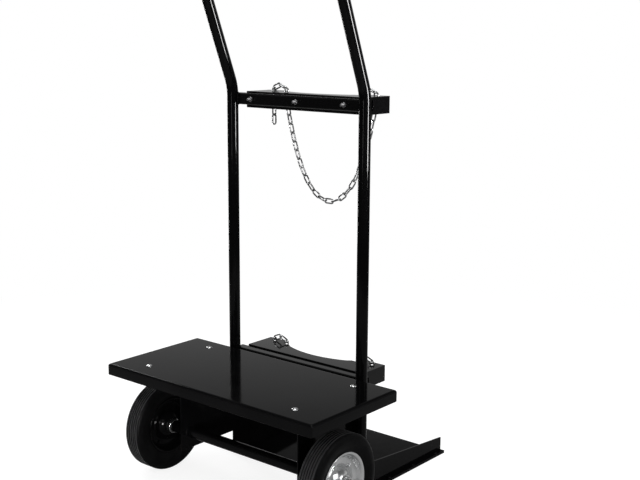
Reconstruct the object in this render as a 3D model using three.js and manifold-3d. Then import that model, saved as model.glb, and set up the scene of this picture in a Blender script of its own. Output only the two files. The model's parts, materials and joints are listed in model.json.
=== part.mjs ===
// Two-wheeled welding cart: a machine tray, a cylinder platform, two saddles with chains and a push handle.
// Millimetres, +Z up, +X to the cart's right, +Y from the handle side towards the cylinder.
import * as THREE from "three";
import { mergeVertices } from "three/addons/utils/BufferGeometryUtils.js";
import Module from "manifold-3d";

const wasm = await Module();
wasm.setup();

// Driving dimensions: fits
const SEAT = 0.3; // gap between two faces that rest on each other
const PIN_PLAY = 0.3; // radial play of a bolt or shaft in its hole
const CHAIN_PLAY = 0.6; // radial play of a link in its hole

// Driving dimensions: tube frame
const TUBE_D = 25;
const TUBE_WALL = 2;
const UPRIGHT_SPACING = 368;
const BEND_HEIGHT = 590; // corner of the upright's bend above the tray top
const BEND_R = 110;
const LEAN = THREE.MathUtils.degToRad(21.5);
const LEG_LENGTH = 197; // leaning leg from the bend's corner to the handle joint
const GRIP_BEND_R = 55;
const GRIP_STUB = 3; // straight end of the handle before its bend

// Driving dimensions: tray
const TRAY_SIDE = 106; // tray's ends outside the uprights' axes
const TRAY_D = 268;
const TRAY_LIP = 25;
const TRAY_SHEET = 2;
const TRAY_BEND_R = 5;
const TRAY_GAP = 6; // tray's rear lip to the uprights
const SCREW_SIDE = 24.5; // screws outside the uprights' axes
const SCREW_FRONT = 46.5; // front screws behind the tray's front lip
const SCREW_BACK = 41; // rear screws in front of the tray's rear lip
const SCREW_D = 6;
const SCREW_HEAD_D = 13;
const SCREW_HEAD_H = 3.6;
const SCREW_LENGTH = 16;
const SCREW_SEAT_D = 15; // pressed seat round each screw head
const SCREW_SEAT_DEPTH = 0.6;

// Driving dimensions: wheels and axle
const WHEEL_D = 203;
const TYRE_W = 46;
const TREAD_W = 34;
const TYRE_BORE_D = 121;
const GROOVES = 5;
const GROOVE_PITCH = 6;
const GROOVE_W = 2;
const GROOVE_DEPTH = 2;
const RIM_HALF = 20; // rim's outer edge from the wheel's middle plane
const RIM_LIP_H = 4;
const RIM_SHEET = 2;
const DISH_D = 98; // flat ring of the rim disc, from the barrel's foot to the dome
const DISC_D = 72;
const DOME_H = 18;
const HUB_D = 32;
const HUB_BORE_D = 26;
const HUB_L = 60;
const BUSH_L = 18;
const SHAFT_D = 20;
const WHEEL_SIDE = 64.5; // wheels' middle planes outside the uprights' axes
const AXLE_Y = 126; // axle behind the tray's front lip
const AXLE_DROP = 162; // axle below the tray top
const WASHER_D = 23;
const WASHER_T = 2;
const PIN_D = 4;
const PIN_L = 28;
const SHAFT_END = 4.5; // shaft beyond the lock pin's middle

// Driving dimensions: side cheeks
const CHEEK_SHEET = 3;
const CHEEK_FRONT = 99; // front edge behind the tray's front lip
const CHEEK_FLANGE_SIDE = 16.7; // flange outside its screws
const CHEEK_FLANGE_END = 18.5; // flange in front of and behind its screws
const CHEEK_BOTTOM = 63.5;
const CHEEK_TAIL = 60; // gusset behind the uprights' middle
const CHEEK_TAIL_H = 36;

// Driving dimensions: cylinder platform
const PLATE_T = 3;
const PLATE_SIDE = 9; // plate outside the uprights' axes
const PLATE_REAR = 600;
const WALL_SHEET = 3;
const WALL_SET = 2; // side walls' outer faces inside the uprights' axes
const WALL_SEAT_H = 62; // side walls' top under the uprights
const WALL_REAR_H = 36;
const WALL_LEAD = 13.5; // side walls in front of the uprights' middle
const WALL_BOLTS = 3;
const WALL_BOLT_END = 31.5; // last bolt from the platform's rear edge
const WALL_BOLT_PITCH = 90.5;
const WALL_BOLT_D = 4;

// Driving dimensions: cross tubes and saddles
const CROSS = 25;
const CROSS_WALL = 2;
const CROSS_R = 3;
const CROSS_SET = 3; // cross tube's front face behind the uprights' middle
const UPPER_DROP = 13.5; // upper cross tube's top below the corner of the uprights' bend
const LOWER_DROP = 6; // lower cross tube's top below the tray top
const SADDLE_SET = 16; // saddle's ends inside the uprights' axes
const SADDLE_REACH = 77;
const SADDLE_SHEET = 2.5;
const SADDLE_RISE = 3; // saddle's top above the cross tube's
const SADDLE_FLANGE = 36;
const CUT_R = 213;
const CUT_FLOOR = 32; // deepest point of the cut, from the cross tube
const CUT_SET = 85; // end of the cut's round part from the saddle's end
const HORN_W = 51; // width of a horn at its tip
const BOLT_SET = 38; // outer bolts from the saddle's ends
const BOLT_D = 6;
const BOLT_AF = 10;
const BOLT_HEAD_H = 4;
const NUT_H = 5;
const BOLT_TIP = 8; // bolt beyond its nut

// Driving dimensions: chains
const WIRE = 3.4;
const LINK_W = 13;
const LINK_L = 26.4;
const LINKS = 27; // free links between the two horns
const TAIL_LEFT = 3; // links that hang loose behind each horn
const TAIL_RIGHT = 2;
const CHAIN_BITE = 0.4; // links of one length are joined where they touch
const CHAIN_GAP = 0.4; // free length's end links to the links that carry them
const CHAIN_SET = 14; // chain line in front of the horn tips
const HOLE_SET = 25; // hole and notch from the saddle's end
const NOTCH_SET = 62;

// Sizes that follow
const AXLE_Z = WHEEL_D / 2;
const TRAY_TOP = AXLE_Z + AXLE_DROP;
const TRAY_UNDER = TRAY_TOP - TRAY_SHEET;
const UPRIGHT_X = UPRIGHT_SPACING / 2;
const TRAY_W = UPRIGHT_SPACING + 2 * TRAY_SIDE;
const SCREW_X = UPRIGHT_X + SCREW_SIDE;
const SCREW_REAR = TRAY_D - SCREW_BACK;
const PLATE_W = UPRIGHT_SPACING + 2 * PLATE_SIDE;
const WALL_X = UPRIGHT_X - WALL_SET;
const UPRIGHT_Y = TRAY_D + TRAY_GAP + TUBE_D / 2;
const FOOT_Z = WALL_SEAT_H + SEAT;
const BEND_Z = TRAY_TOP + BEND_HEIGHT;
const CHEEK_OUT = UPRIGHT_X - TUBE_D / 2 - SEAT;
const CHEEK_IN = CHEEK_OUT - CHEEK_SHEET;
const CHEEK_TOP = TRAY_UNDER - SEAT;
const WHEEL_X = UPRIGHT_X + WHEEL_SIDE;
const TRACK = 2 * WHEEL_X;
const HUB_OUT = WHEEL_X + HUB_L / 2;
const AXLE_TUBE_END = WHEEL_X - HUB_L / 2 - SEAT;
const PIN_X = HUB_OUT + 2 * SEAT + WASHER_T + PIN_D / 2;
const SHAFT_HALF = PIN_X + SHAFT_END;
const CROSS_FRONT = UPRIGHT_Y + CROSS_SET;
const CROSS_REAR = CROSS_FRONT + CROSS;
const UPPER_TOP = BEND_Z - UPPER_DROP;
const LOWER_TOP = TRAY_TOP - LOWER_DROP;
const SADDLE_HALF = UPRIGHT_X - SADDLE_SET;
const SADDLE_FRONT = CROSS_REAR + SEAT;
const SADDLE_REAR = SADDLE_FRONT + SADDLE_REACH;
const CUT_HALF = SADDLE_HALF - CUT_SET;
const HORN_IN = SADDLE_HALF - HORN_W;
const CHAIN_Y = SADDLE_REAR - CHAIN_SET;
const HOLE_X = SADDLE_HALF - HOLE_SET;
const NOTCH_X = SADDLE_HALF - NOTCH_SET;
const BOLT_X = SADDLE_HALF - BOLT_SET;
const PLATE_FRONT = UPRIGHT_Y;
const DEPTH = PLATE_REAR; // tray's front lip to the platform's rear edge

// Facet counts
const ROUND_TUBE = 14;
const ROUND_SMALL = 12;
const ROUND_BOLT = 8;
const ROUND_WHEEL = 24;
const ROUND_HUB = 16;
const ROUND_CORNER = 3;
const ROUND_CUT = 8;
const BEND_STEPS = 4;
const GRIP_STEPS = 5;
const LINK_RINGS = 8;
const LINK_SIDES = 4;

// Boolean helpers: geometry to solid and back
function solid(geometry) {
  const bare = geometry.index ? geometry.toNonIndexed() : geometry.clone();
  bare.deleteAttribute("normal");
  bare.deleteAttribute("uv");
  const merged = mergeVertices(bare, 1e-4);
  return new wasm.Manifold(
    new wasm.Mesh({
      numProp: 3,
      vertProperties: new Float32Array(merged.attributes.position.array),
      triVerts: new Uint32Array(merged.index.array),
    }),
  );
}

function geometryOf(body) {
  const mesh = body.getMesh();
  const points = new Float32Array(mesh.numVert * 3);
  for (let i = 0; i < mesh.numVert; i += 1) {
    points.set(mesh.vertProperties.subarray(i * mesh.numProp, i * mesh.numProp + 3), i * 3);
  }
  const geometry = new THREE.BufferGeometry();
  geometry.setAttribute("position", new THREE.BufferAttribute(points, 3));
  geometry.setIndex(new THREE.BufferAttribute(new Uint32Array(mesh.triVerts), 1));
  geometry.computeVertexNormals();
  return geometry;
}

const join = (parts) => parts.reduce((sum, part) => sum.add(part));
const cut = (body, tools) => tools.reduce((rest, tool) => rest.subtract(tool), body);

// Box between two corners
function block(x0, x1, y0, y1, z0, z1) {
  const box = new THREE.BoxGeometry(x1 - x0, y1 - y0, z1 - z0);
  box.translate((x0 + x1) / 2, (y0 + y1) / 2, (z0 + z1) / 2);
  return solid(box);
}

// Round bar along an axis, centred on a point
function bar(axis, diameter, length, x, y, z, sides = ROUND_SMALL) {
  const geometry = new THREE.CylinderGeometry(diameter / 2, diameter / 2, length, sides);
  if (axis === "x") geometry.rotateZ(Math.PI / 2);
  if (axis === "z") geometry.rotateX(Math.PI / 2);
  geometry.translate(x, y, z);
  return solid(geometry);
}

// Outline in plan, extruded upwards from a height
function plate(shape, thickness, z) {
  const geometry = new THREE.ExtrudeGeometry(shape, {
    depth: thickness,
    bevelEnabled: false,
    curveSegments: ROUND_CUT,
  });
  geometry.translate(0, 0, z);
  return solid(geometry);
}

// Outline in the YZ plane, extruded along +X from a start
function sideways(shape, length, x) {
  const geometry = new THREE.ExtrudeGeometry(shape, {
    depth: length,
    bevelEnabled: false,
    curveSegments: ROUND_CORNER,
  });
  geometry.applyMatrix4(new THREE.Matrix4().set(0, 0, 1, x, 1, 0, 0, 0, 0, 1, 0, 0, 0, 0, 0, 1));
  return solid(geometry);
}

// Outline in the XZ plane, extruded along +Y from a start
function deepways(shape, length, y) {
  const geometry = new THREE.ExtrudeGeometry(shape, {
    depth: length,
    bevelEnabled: false,
    curveSegments: ROUND_CORNER,
  });
  geometry.applyMatrix4(new THREE.Matrix4().set(1, 0, 0, 0, 0, 0, -1, y + length, 0, 1, 0, 0, 0, 0, 0, 1));
  return solid(geometry);
}

// Body turned about the Z axis of the wheel or screw, from a profile of radius and height
function turned(profile, sides) {
  const points = profile.map(([radius, height]) => new THREE.Vector2(radius, height));
  return new THREE.LatheGeometry(points, sides);
}

// A tube's centre line that holds its own rings: straight runs and bends
class RingPath extends THREE.Curve {
  constructor(rings) {
    super();
    this.rings = rings;
  }

  ringAt(u) {
    return this.rings[Math.round(u * (this.rings.length - 1))];
  }

  getPointAt(u, target = new THREE.Vector3()) {
    return target.copy(this.ringAt(u).point);
  }

  getTangentAt(u, target = new THREE.Vector3()) {
    return target.copy(this.ringAt(u).along);
  }
}

// Rings of a bend from one direction to another about a corner
function bendRings(corner, from, to, radius, steps) {
  const angle = from.angleTo(to);
  const reach = radius * Math.tan(angle / 2);
  const start = corner.clone().addScaledVector(from, -reach);
  const inward = to.clone().addScaledVector(from, -to.dot(from)).normalize();
  const centre = start.clone().addScaledVector(inward, radius);
  const rings = [];
  for (let i = 0; i <= steps; i += 1) {
    const turn = (angle * i) / steps;
    const along = from.clone().multiplyScalar(Math.cos(turn)).addScaledVector(inward, Math.sin(turn));
    const point = centre.clone().addScaledVector(inward, -radius * Math.cos(turn));
    point.addScaledVector(from, radius * Math.sin(turn));
    rings.push({ point, along });
  }
  return rings;
}

function tube(rings) {
  const section = new THREE.Shape().absarc(0, 0, TUBE_D / 2, 0, Math.PI * 2);
  section.holes.push(new THREE.Path().absarc(0, 0, TUBE_D / 2 - TUBE_WALL, 0, Math.PI * 2));
  return new THREE.ExtrudeGeometry(section, {
    steps: rings.length - 1,
    curveSegments: ROUND_TUBE / 2,
    extrudePath: new RingPath(rings),
  });
}

// Materials, one for each finish
const FINISHES = {
  black_paint: { color: 0x101113, roughness: 0.28, metalness: 0.1 },
  zinc: { color: 0xc4c7c9, roughness: 0.3, metalness: 0.95 },
  bright_steel: { color: 0xa9abad, roughness: 0.35, metalness: 0.95 },
  tyre_rubber: { color: 0x161617, roughness: 0.75, metalness: 0 },
  bush_plastic: { color: 0x2a2a2c, roughness: 0.6, metalness: 0 },
};

const cart = new THREE.Group();
cart.position.y = -DEPTH / 2;

function place(name, finish, geometry, parent = cart) {
  const mesh = new THREE.Mesh(geometry, new THREE.MeshStandardMaterial(FINISHES[finish]));
  mesh.name = name;
  parent.add(mesh);
  return mesh;
}

// Tube frame: two bent uprights and the U-shaped handle that joins them
const UP = new THREE.Vector3(0, 0, 1);
const LEG = new THREE.Vector3(0, -Math.sin(LEAN), Math.cos(LEAN));
const RIGHT = new THREE.Vector3(1, 0, 0);

function upright(side) {
  const corner = new THREE.Vector3(side * UPRIGHT_X, UPRIGHT_Y, BEND_Z);
  const foot = new THREE.Vector3(side * UPRIGHT_X, UPRIGHT_Y, FOOT_Z);
  const top = corner.clone().addScaledVector(LEG, LEG_LENGTH);
  const bend = bendRings(corner, UP, LEG, BEND_R, BEND_STEPS);
  return tube([{ point: foot, along: UP }, ...bend, { point: top, along: LEG }]);
}

function handle() {
  const rise = LEG_LENGTH + SEAT + GRIP_STUB + GRIP_BEND_R;
  const corners = [-1, 1].map((side) =>
    new THREE.Vector3(side * UPRIGHT_X, UPRIGHT_Y, BEND_Z).addScaledVector(LEG, rise),
  );
  const ends = corners.map((corner) => corner.clone().addScaledVector(LEG, SEAT + LEG_LENGTH - rise));
  const down = LEG.clone().negate();
  return tube([
    { point: ends[0], along: LEG },
    ...bendRings(corners[0], LEG, RIGHT, GRIP_BEND_R, GRIP_STEPS),
    ...bendRings(corners[1], RIGHT, down, GRIP_BEND_R, GRIP_STEPS),
    { point: ends[1], along: down },
  ]);
}

place("left_upright", "black_paint", upright(-1));
place("right_upright", "black_paint", upright(1));
place("push_handle", "black_paint", handle());

// Tray: sheet folded down into a lip on all four sides
function lidOutline(half0, half1, bottom, top, radius) {
  const shape = new THREE.Shape();
  shape.moveTo(half0, bottom);
  shape.lineTo(half1, bottom);
  shape.lineTo(half1, top - radius);
  shape.absarc(half1 - radius, top - radius, radius, 0, Math.PI / 2, false);
  shape.lineTo(half0 + radius, top);
  shape.absarc(half0 + radius, top - radius, radius, Math.PI / 2, Math.PI, false);
  shape.closePath();
  return shape;
}

function lid(inset, bottom, radius) {
  const halfW = TRAY_W / 2 - inset;
  const top = TRAY_TOP - inset;
  const endOutline = lidOutline(-halfW, halfW, bottom, top, radius);
  const sideOutline = lidOutline(inset, TRAY_D - inset, bottom, top, radius);
  const across = deepways(endOutline, TRAY_D - 2 * inset, inset);
  return across.intersect(sideways(sideOutline, 2 * halfW, -halfW));
}

const screwPlaces = [
  ["front_left", -SCREW_X, SCREW_FRONT],
  ["front_right", SCREW_X, SCREW_FRONT],
  ["rear_left", -SCREW_X, SCREW_REAR],
  ["rear_right", SCREW_X, SCREW_REAR],
];
const screwHoles = screwPlaces.map(([, x, y]) =>
  bar("z", SCREW_D + 2 * PIN_PLAY, SCREW_LENGTH * 2, x, y, TRAY_TOP),
);
const screwSeats = screwPlaces.map(([, x, y]) =>
  bar("z", SCREW_SEAT_D, 2 * SCREW_SEAT_DEPTH, x, y, TRAY_TOP),
);
const trayHollow = lid(TRAY_SHEET, TRAY_TOP - TRAY_LIP - TRAY_SHEET, TRAY_BEND_R - TRAY_SHEET);
const trayBody = lid(0, TRAY_TOP - TRAY_LIP, TRAY_BEND_R);
place("tray", "black_paint", geometryOf(cut(trayBody, [trayHollow, ...screwHoles, ...screwSeats])));

// Screws with low domed heads, tapped into the cheek flanges
function screw() {
  const dome = [
    [0, -SCREW_LENGTH],
    [SCREW_D / 2, -SCREW_LENGTH],
    [SCREW_D / 2, 0],
    [SCREW_HEAD_D / 2, 0],
    [SCREW_HEAD_D * 0.4, SCREW_HEAD_H * 0.7],
    [0, SCREW_HEAD_H],
  ];
  return turned(dome, ROUND_SMALL).rotateX(Math.PI / 2);
}

screwPlaces.forEach(([where, x, y]) => {
  const headZ = TRAY_TOP - SCREW_SEAT_DEPTH + SEAT;
  place(`tray_screw_${where}`, "zinc", screw()).position.set(x, y, headZ);
});

// Side cheeks: folded sheet that carries the tray and the axle, stepped below the tray's rear lip,
// with a gusset behind the upright
function cheek(side) {
  const rear = CROSS_FRONT - SEAT;
  const stepY = TRAY_D - TRAY_BEND_R - SEAT;
  const stepZ = TRAY_TOP - TRAY_LIP - SEAT;
  const web = new THREE.Shape();
  web.moveTo(CHEEK_FRONT, CHEEK_BOTTOM);
  web.lineTo(UPRIGHT_Y + CHEEK_TAIL, CHEEK_BOTTOM);
  web.lineTo(rear, CHEEK_BOTTOM + CHEEK_TAIL_H);
  web.lineTo(rear, stepZ);
  web.lineTo(stepY, stepZ);
  web.lineTo(stepY, CHEEK_TOP);
  web.lineTo(CHEEK_FRONT, CHEEK_TOP);
  web.closePath();
  const [inner, outer] = [side * CHEEK_IN, side * CHEEK_OUT].sort((a, b) => a - b);
  const flangeEnds = [side * CHEEK_IN, side * (SCREW_X + CHEEK_FLANGE_SIDE)].sort((a, b) => a - b);
  const flangeFront = SCREW_FRONT - CHEEK_FLANGE_END;
  const flangeRear = SCREW_REAR + CHEEK_FLANGE_END;
  const parts = [
    sideways(web, outer - inner, inner),
    block(...flangeEnds, flangeFront, flangeRear, CHEEK_TOP - CHEEK_SHEET, CHEEK_TOP),
  ];
  const axleHole = bar("x", TUBE_D + 2 * SEAT, TRACK, 0, AXLE_Y, AXLE_Z, ROUND_HUB);
  return cut(join(parts), [axleHole, ...screwHoles]);
}

place("left_cheek", "black_paint", geometryOf(cheek(-1)));
place("right_cheek", "black_paint", geometryOf(cheek(1)));

// Axle: a tube welded through the cheeks and a solid shaft inside it
const axleBore = bar("x", TUBE_D - 2 * TUBE_WALL, TRACK, 0, AXLE_Y, AXLE_Z, ROUND_HUB);
const axleTube = bar("x", TUBE_D, 2 * AXLE_TUBE_END, 0, AXLE_Y, AXLE_Z, ROUND_HUB);
place("axle_tube", "black_paint", geometryOf(cut(axleTube, [axleBore])));

const pinHoles = [-1, 1].map((side) =>
  bar("z", PIN_D + 2 * PIN_PLAY, PIN_L, side * PIN_X, AXLE_Y, AXLE_Z, ROUND_BOLT),
);
const shaft = bar("x", SHAFT_D, 2 * SHAFT_HALF, 0, AXLE_Y, AXLE_Z, ROUND_HUB);
place("axle_shaft", "bright_steel", geometryOf(cut(shaft, pinHoles)));

// Wheel: profiles are radius and distance outwards from the wheel's middle plane
function tyreProfile() {
  const crown = WHEEL_D / 2;
  const half = TYRE_W / 2;
  const bore = TYRE_BORE_D / 2;
  const bead = RIM_HALF - RIM_SHEET - SEAT;
  const tread = [];
  for (let i = 0; i < GROOVES; i += 1) {
    const middle = (i - (GROOVES - 1) / 2) * GROOVE_PITCH;
    tread.push([crown, middle - GROOVE_W / 2]);
    tread.push([crown - GROOVE_DEPTH, middle]);
    tread.push([crown, middle + GROOVE_W / 2]);
  }
  return [
    [bore, -bead],
    [bore + RIM_LIP_H + 2 * SEAT, -bead],
    [(crown + bore) / 2, -half],
    [crown - (half - TREAD_W / 2) * 1.6, -half],
    [crown, -TREAD_W / 2],
    ...tread,
    [crown, TREAD_W / 2],
    [crown - (half - TREAD_W / 2) * 1.6, half],
    [(crown + bore) / 2, half],
    [bore + RIM_LIP_H + 2 * SEAT, bead],
    [bore, bead],
    [bore, -bead],
  ];
}

// Pressed half of the rim: lip, barrel, flat disc and the dome that meets the hub
function rimProfile() {
  const barrel = TYRE_BORE_D / 2 - SEAT;
  const lip = RIM_HALF - RIM_SHEET;
  const disc = DISC_D / 2;
  const eye = HUB_D / 2 + SEAT;
  const face = SEAT / 2 + RIM_SHEET;
  return [
    [eye, DOME_H],
    [disc - RIM_SHEET, SEAT / 2],
    [barrel, SEAT / 2],
    [barrel, lip],
    [barrel + RIM_LIP_H, lip],
    [barrel + RIM_LIP_H, lip + RIM_SHEET],
    [barrel - RIM_SHEET, lip + RIM_SHEET - 1],
    [DISH_D / 2 + RIM_SHEET, face + RIM_SHEET * 2],
    [DISH_D / 2, face],
    [disc, face],
    [(disc + eye) / 2 + RIM_SHEET, face + DOME_H * 0.55],
    [eye + RIM_SHEET, DOME_H + RIM_SHEET],
    [eye, DOME_H + RIM_SHEET],
    [eye, DOME_H],
  ];
}

// Turned parts stand on Y; a wheel lays that axis along X, outwards on its own side
function wheelGroup(side) {
  const group = new THREE.Group();
  group.position.set(side * WHEEL_X, AXLE_Y, AXLE_Z);
  group.rotation.z = -side * (Math.PI / 2);
  cart.add(group);
  return group;
}

function ring(outer, inner, low, high, sides) {
  const profile = [
    [inner, low],
    [outer, low],
    [outer, high],
    [inner, high],
    [inner, low],
  ];
  return turned(profile, sides);
}

function wheel(prefix, side) {
  const group = wheelGroup(side);
  const hubHalf = HUB_L / 2;
  const bushOut = HUB_BORE_D / 2 - PIN_PLAY;
  const bushIn = SHAFT_D / 2 + PIN_PLAY;
  const mirror = rimProfile().map(([radius, height]) => [radius, -height]);
  place(`${prefix}_tyre`, "tyre_rubber", turned(tyreProfile(), ROUND_WHEEL), group);
  place(`${prefix}_rim_outer`, "zinc", turned(rimProfile(), ROUND_WHEEL), group);
  place(`${prefix}_rim_inner`, "black_paint", turned(mirror.reverse(), ROUND_WHEEL), group);
  place(`${prefix}_hub`, "zinc", ring(HUB_D / 2, HUB_BORE_D / 2, -hubHalf, hubHalf, ROUND_HUB), group);
  const bushes = [
    ["outer", hubHalf - BUSH_L, hubHalf],
    ["inner", -hubHalf, BUSH_L - hubHalf],
  ];
  bushes.forEach(([where, low, high]) => {
    place(`${prefix}_bush_${where}`, "bush_plastic", ring(bushOut, bushIn, low, high, ROUND_HUB), group);
  });
  const washerLow = hubHalf + SEAT;
  const washer = ring(WASHER_D / 2, bushIn, washerLow, washerLow + WASHER_T, ROUND_HUB);
  place(`${prefix}_washer`, "zinc", washer, group);
  const pin = bar("z", PIN_D, PIN_L, side * PIN_X, AXLE_Y, AXLE_Z, ROUND_BOLT);
  place(`${prefix}_lock_pin`, "zinc", geometryOf(pin));
}

wheel("left_wheel", -1);
wheel("right_wheel", 1);

// Cylinder platform: a floor plate between two tapered side walls with foot flanges
const wallBoltYs = Array.from(
  { length: WALL_BOLTS },
  (_, i) => PLATE_REAR - WALL_BOLT_END - i * WALL_BOLT_PITCH,
);
const wallBoltX = (WALL_X + PLATE_W / 2) / 2;
const wallHoleL = 4 * (PLATE_T + WALL_SHEET);
const wallHoles = wallBoltYs.flatMap((y) =>
  [-1, 1].map((side) =>
    bar("z", WALL_BOLT_D + 2 * PIN_PLAY, wallHoleL, side * wallBoltX, y, 0, ROUND_BOLT),
  ),
);

const floorPlate = block(-PLATE_W / 2, PLATE_W / 2, PLATE_FRONT, PLATE_REAR, 0, PLATE_T);
place("platform_plate", "black_paint", geometryOf(cut(floorPlate, wallHoles)));

function sideWall(side) {
  const base = PLATE_T + SEAT;
  const front = UPRIGHT_Y - WALL_LEAD;
  const web = new THREE.Shape();
  web.moveTo(front, base);
  web.lineTo(PLATE_REAR, base);
  web.lineTo(PLATE_REAR, WALL_REAR_H);
  web.lineTo(UPRIGHT_Y + TUBE_D / 2, WALL_SEAT_H);
  web.lineTo(front, WALL_SEAT_H);
  web.closePath();
  const webStart = side > 0 ? WALL_X - WALL_SHEET : -WALL_X;
  const footEnds = [side * (WALL_X - WALL_SHEET), (side * PLATE_W) / 2].sort((a, b) => a - b);
  const foot = block(...footEnds, PLATE_FRONT, PLATE_REAR, base, base + WALL_SHEET);
  return cut(sideways(web, WALL_SHEET, webStart).add(foot), wallHoles);
}

place("left_side_wall", "black_paint", geometryOf(sideWall(-1)));
place("right_side_wall", "black_paint", geometryOf(sideWall(1)));

// Low domed bolts that hold the walls, ending just above the floor
function wallBolt() {
  const headLow = PLATE_T + WALL_SHEET + 2 * SEAT;
  const profile = [
    [0, SEAT],
    [WALL_BOLT_D / 2, SEAT],
    [WALL_BOLT_D / 2, headLow],
    [WALL_BOLT_D, headLow],
    [WALL_BOLT_D * 0.7, headLow + WALL_BOLT_D * 0.5],
    [0, headLow + WALL_BOLT_D * 0.6],
  ];
  return turned(profile, ROUND_BOLT).rotateX(Math.PI / 2);
}

wallBoltYs.forEach((y, i) => {
  place(`left_wall_bolt_${i + 1}`, "black_paint", wallBolt()).position.set(-wallBoltX, y, 0);
  place(`right_wall_bolt_${i + 1}`, "black_paint", wallBolt()).position.set(wallBoltX, y, 0);
});

// Saddles: a folded sheet with a round cut, bolted behind a square cross tube
function roundedSquare(size, radius) {
  const half = size / 2;
  const shape = new THREE.Shape();
  shape.moveTo(half - radius, -half);
  shape.absarc(half - radius, radius - half, radius, -Math.PI / 2, 0, false);
  shape.absarc(half - radius, half - radius, radius, 0, Math.PI / 2, false);
  shape.absarc(radius - half, half - radius, radius, Math.PI / 2, Math.PI, false);
  shape.absarc(radius - half, radius - half, radius, Math.PI, Math.PI * 1.5, false);
  shape.closePath();
  return shape;
}

function crossTube(top, boltHoles) {
  const section = roundedSquare(CROSS, CROSS_R);
  const bore = roundedSquare(CROSS - 2 * CROSS_WALL, CROSS_R - CROSS_WALL);
  const body = sideways(section, UPRIGHT_SPACING, -UPRIGHT_X);
  const hollow = sideways(bore, UPRIGHT_SPACING + 2 * CROSS, -UPRIGHT_X - CROSS);
  const shift = [0, CROSS_FRONT + CROSS / 2, top - CROSS / 2];
  const copes = [-1, 1].map((side) =>
    bar("z", TUBE_D + 2 * SEAT, 2 * CROSS, side * UPRIGHT_X, UPRIGHT_Y, top - CROSS / 2, ROUND_HUB),
  );
  return cut(body.translate(shift), [hollow.translate(shift), ...copes, ...boltHoles]);
}

function saddleOutline() {
  const half = SADDLE_HALF;
  const centreY = SADDLE_FRONT + CUT_FLOOR + CUT_R;
  const arcHalf = Math.asin(CUT_HALF / CUT_R);
  const down = -Math.PI / 2;
  const shape = new THREE.Shape();
  shape.moveTo(-half, SADDLE_FRONT);
  shape.lineTo(half, SADDLE_FRONT);
  shape.lineTo(half, SADDLE_REAR);
  shape.lineTo(HORN_IN, SADDLE_REAR);
  shape.absarc(0, centreY, CUT_R, down + arcHalf, down - arcHalf, true);
  shape.lineTo(-HORN_IN, SADDLE_REAR);
  shape.lineTo(-half, SADDLE_REAR);
  shape.closePath();
  return shape;
}

function saddle(top, boltHoles) {
  const half = SADDLE_HALF;
  const low = top - SADDLE_FLANGE;
  const sheet = join([
    plate(saddleOutline(), SADDLE_SHEET, top - SADDLE_SHEET),
    block(-half, half, SADDLE_FRONT, SADDLE_FRONT + SADDLE_SHEET, low, top),
    block(-half, SADDLE_SHEET - half, SADDLE_FRONT, SADDLE_REAR, low, top),
    block(half - SADDLE_SHEET, half, SADDLE_FRONT, SADDLE_REAR, low, top),
  ]);
  const holeR = LINK_W / 2 + CHAIN_PLAY;
  const holes = [-1, 1].flatMap((side) => [
    bar("z", 2 * holeR, 2 * SADDLE_FLANGE, side * HOLE_X, CHAIN_Y, top),
    bar("z", 2 * holeR, 2 * SADDLE_FLANGE, side * NOTCH_X, CHAIN_Y, top),
    block(
      Math.min(side * NOTCH_X, side * CUT_HALF),
      Math.max(side * NOTCH_X, side * CUT_HALF),
      CHAIN_Y - holeR,
      CHAIN_Y + holeR,
      top - 2 * SADDLE_SHEET,
      top + SADDLE_SHEET,
    ),
  ]);
  return cut(sheet, [...holes, ...boltHoles]);
}

// Hexagon across its flats, along Y from a start
function hexagon(start, length, x, z) {
  const geometry = new THREE.CylinderGeometry(BOLT_AF / Math.sqrt(3), BOLT_AF / Math.sqrt(3), length, 6);
  geometry.translate(x, start + length / 2, z);
  return solid(geometry);
}

function saddleSet(prefix, top) {
  const boltZ = top - CROSS / 2;
  const boltXs = [-BOLT_X, 0, BOLT_X];
  const headFront = SADDLE_FRONT + SADDLE_SHEET + SEAT;
  const nutRear = CROSS_FRONT - SEAT;
  const tip = nutRear - NUT_H - BOLT_TIP;
  const length = headFront - tip;
  const holeD = BOLT_D + 2 * PIN_PLAY;
  const holes = boltXs.map((x) => bar("y", holeD, 4 * CROSS, x, CROSS_REAR, boltZ, ROUND_BOLT));
  place(`${prefix}_cross_tube`, "black_paint", geometryOf(crossTube(top, holes)));
  place(`${prefix}_saddle`, "black_paint", geometryOf(saddle(top + SADDLE_RISE, holes)));
  boltXs.forEach((x, i) => {
    const shank = bar("y", BOLT_D, length, x, tip + length / 2, boltZ, ROUND_BOLT);
    const bolt = shank.add(hexagon(headFront, BOLT_HEAD_H, x, boltZ));
    const nut = hexagon(nutRear - NUT_H, NUT_H, x, boltZ).subtract(holes[i]);
    place(`${prefix}_bolt_${i + 1}`, "bright_steel", geometryOf(bolt));
    place(`${prefix}_nut_${i + 1}`, "bright_steel", geometryOf(nut));
  });
}

saddleSet("upper", UPPER_TOP);
saddleSet("lower", LOWER_TOP);

// Chain links: long axis on X, width on Y, drawn out from a ring
const LINK_STRETCH = (LINK_L - LINK_W) / 2;
const END_HALF = (LINK_L - WIRE) / 2; // link's middle to the middle of its end wire
const HOLD = LINK_L - 2 * WIRE; // pitch of links that just touch
const PITCH = HOLD + CHAIN_BITE;

function linkSolid() {
  const ringR = (LINK_W - WIRE) / 2 / Math.cos(Math.PI / LINK_RINGS);
  const geometry = new THREE.TorusGeometry(ringR, WIRE / 2, LINK_SIDES, LINK_RINGS);
  geometry.rotateZ(Math.PI / LINK_RINGS);
  const points = geometry.getAttribute("position");
  for (let i = 0; i < points.count; i += 1) {
    points.setX(i, points.getX(i) + Math.sign(points.getX(i)) * LINK_STRETCH);
  }
  return solid(geometry);
}

const LINK = linkSolid();

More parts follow.
